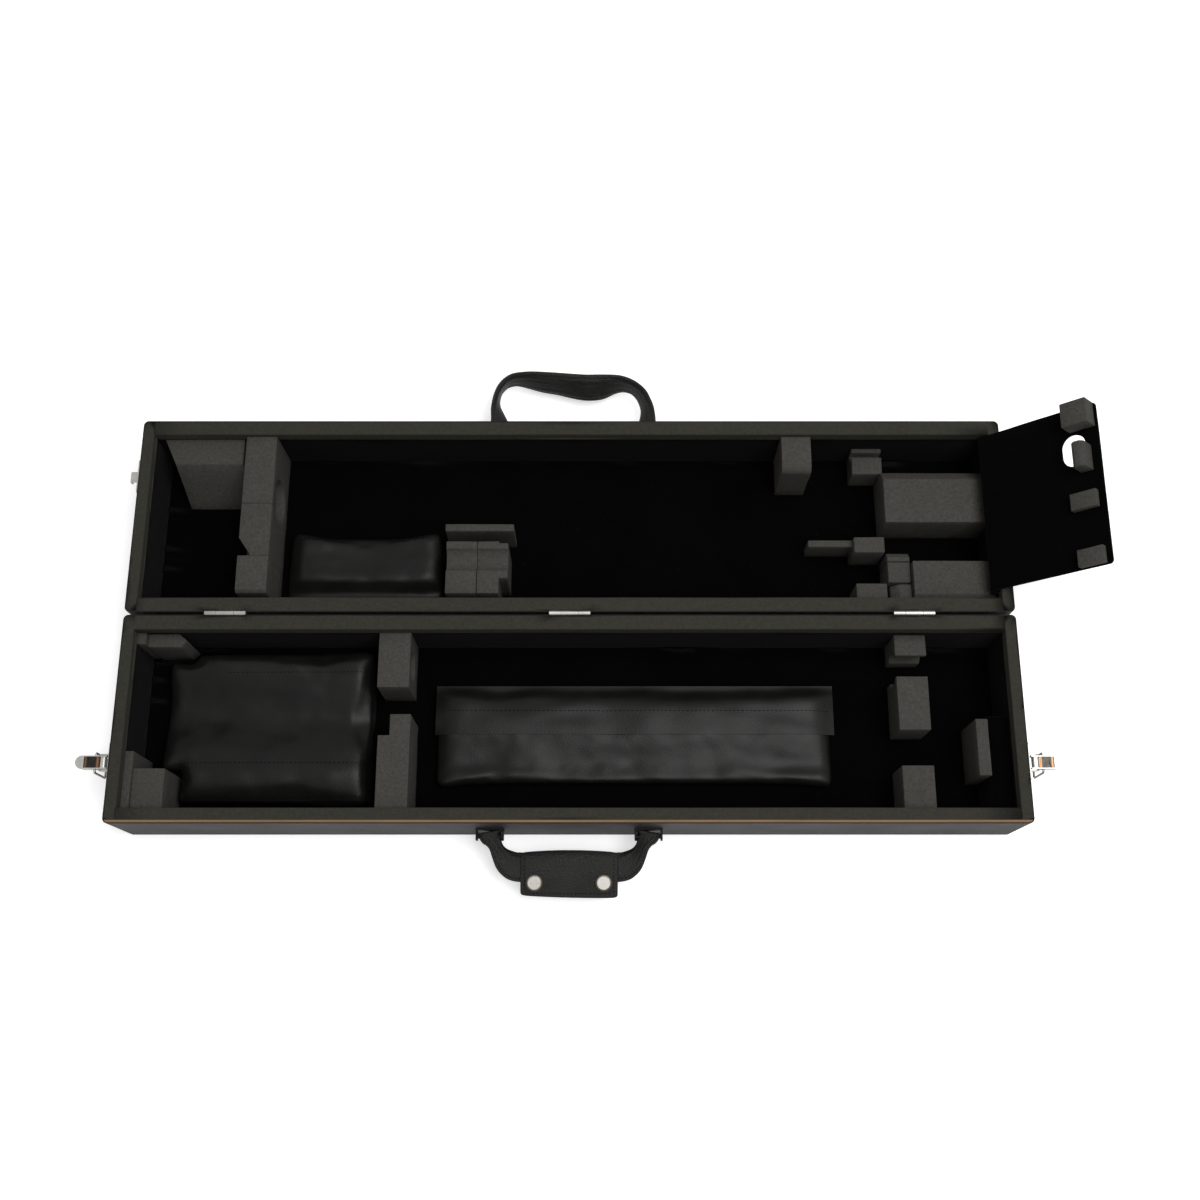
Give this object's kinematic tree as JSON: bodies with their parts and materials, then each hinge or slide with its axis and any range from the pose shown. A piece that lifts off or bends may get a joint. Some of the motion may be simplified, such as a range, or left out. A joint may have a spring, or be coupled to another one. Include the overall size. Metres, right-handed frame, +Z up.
{
  "type": "woodwind instrument case",
  "caption": "Hard case for a large clarinet, lying open: hinged lid, draw latches, drop handles, foam rests, soft pouches and a swinging accessory panel.",
  "frame": {"origin": "centre of the face the base half rests on, with the case lying open", "axes": "+X along the case to the end with the accessory panel, +Y from the base to the lid across the hinges, +Z up out of the open halves"},
  "size_m": [0.9761, 0.5575, 0.1744],
  "materials": {
    "cover": "grained black covering",
    "plywood": "bare",
    "rim_foam": "padded band, matt",
    "velvet": "black pile",
    "foam": "charcoal foam, matt",
    "pouch": "soft sheen",
    "strap_leather": "black, stitched",
    "nickel": "nickel plate, brushed",
    "bracket": "black enamel"
  },
  "bodies": {
    "base": {"base_cover_floor": "cover", "base_cover_walls": "cover", "base_floor_board": "plywood", "base_wall_boards": "plywood", "base_rim_band": "rim_foam", "base_wall_lining": "velvet", "base_floor_lining": "velvet", "base_hinge_leaves": "nickel", "base_hinge_screws": "nickel", "hinge_pins": "nickel", "latch_plates": "nickel", "latch_rivets": "nickel", "front_handle_anchors": "bracket", "bell_pads": "foam", "bell_spine_blocks": "foam", "neck_divider_rear": "foam", "neck_divider_front": "foam", "clarinet_divider_rear": "foam", "clarinet_divider_middle": "foam", "clarinet_divider_front": "foam", "bell_stop": "foam", "end_backing": "velvet", "bell_pouch": "pouch", "middle_pouch": "pouch"},
    "lid": {"lid_cover_floor": "cover", "lid_cover_walls": "cover", "lid_floor_board": "plywood", "lid_wall_boards": "plywood", "lid_rim_band": "rim_foam", "lid_wall_lining": "velvet", "lid_floor_lining": "velvet", "lid_hinge_leaves": "nickel", "lid_hinge_screws": "nickel", "catches": "nickel", "catch_rivets": "nickel", "rear_handle_anchors": "bracket", "panel_ledge": "velvet", "bell_wedge": "foam", "bore_divider": "foam", "joint_saddle": "foam", "saddle_strip": "foam", "peg_block": "foam", "peg_cradle": "foam", "key_block": "foam", "end_block": "foam", "joint_cradles": "foam", "joint_plugs": "foam", "lid_pouch": "pouch"},
    "accessory_panel": {"panel_board": "velvet", "panel_peg_press": "foam", "panel_joint_press": "foam", "panel_pads": "foam"},
    "latch_lever_right": {"latch_lever_right": "nickel"},
    "latch_lever_left": {"latch_lever_left": "nickel"},
    "latch_bail_right": {"latch_bail_right": "nickel"},
    "latch_bail_left": {"latch_bail_left": "nickel"},
    "front_handle": {"front_handle_strap": "strap_leather", "front_handle_grip": "strap_leather", "front_handle_snaps": "nickel"},
    "rear_handle": {"rear_handle_strap": "strap_leather"}
  },
  "joints": [
    {"name": "lid_hinge", "type": "hinge", "parent": "base", "child": "lid", "pos_m": [0, 0.103, 0.08], "axis": [1, 0, 0], "range_deg": [0, 180]},
    {"name": "panel_swing", "type": "hinge", "parent": "lid", "child": "accessory_panel", "pos_m": [0.4157, 0.206, 0.0754], "axis": [0, -1, 0], "range_deg": [0, 142]},
    {"name": "right_lever_pivot", "type": "hinge", "parent": "base", "child": "latch_lever_right", "pos_m": [0.444, -0.042, 0.066], "axis": [0, 1, 0], "range_deg": [0, 90]},
    {"name": "left_lever_pivot", "type": "hinge", "parent": "base", "child": "latch_lever_left", "pos_m": [-0.444, -0.042, 0.066], "axis": [0, -1, 0], "range_deg": [0, 90]},
    {"name": "right_bail_swing", "type": "hinge", "parent": "latch_lever_right", "child": "latch_bail_right", "pos_m": [0.452, -0.042, 0.066], "axis": [0, 1, 0], "range_deg": [-275, 0]},
    {"name": "left_bail_swing", "type": "hinge", "parent": "latch_lever_left", "child": "latch_bail_left", "pos_m": [-0.452, -0.042, 0.066], "axis": [0, -1, 0], "range_deg": [-275, 0]},
    {"name": "front_handle_swing", "type": "hinge", "parent": "base", "child": "front_handle", "pos_m": [0, -0.1085, 0.04], "axis": [-1, 0, 0], "range_deg": [-20, 43]},
    {"name": "rear_handle_swing", "type": "hinge", "parent": "lid", "child": "rear_handle", "pos_m": [0, 0.3145, 0.04], "axis": [1, 0, 0], "range_deg": [-12, 36]}
  ],
  "couplings": [
    {"joint": "panel_swing", "follows": "lid_hinge", "ratio": 0.78889},
    {"joint": "right_bail_swing", "follows": "right_lever_pivot", "ratio": -3.0533},
    {"joint": "left_bail_swing", "follows": "left_lever_pivot", "ratio": -3.0533}
  ]
}
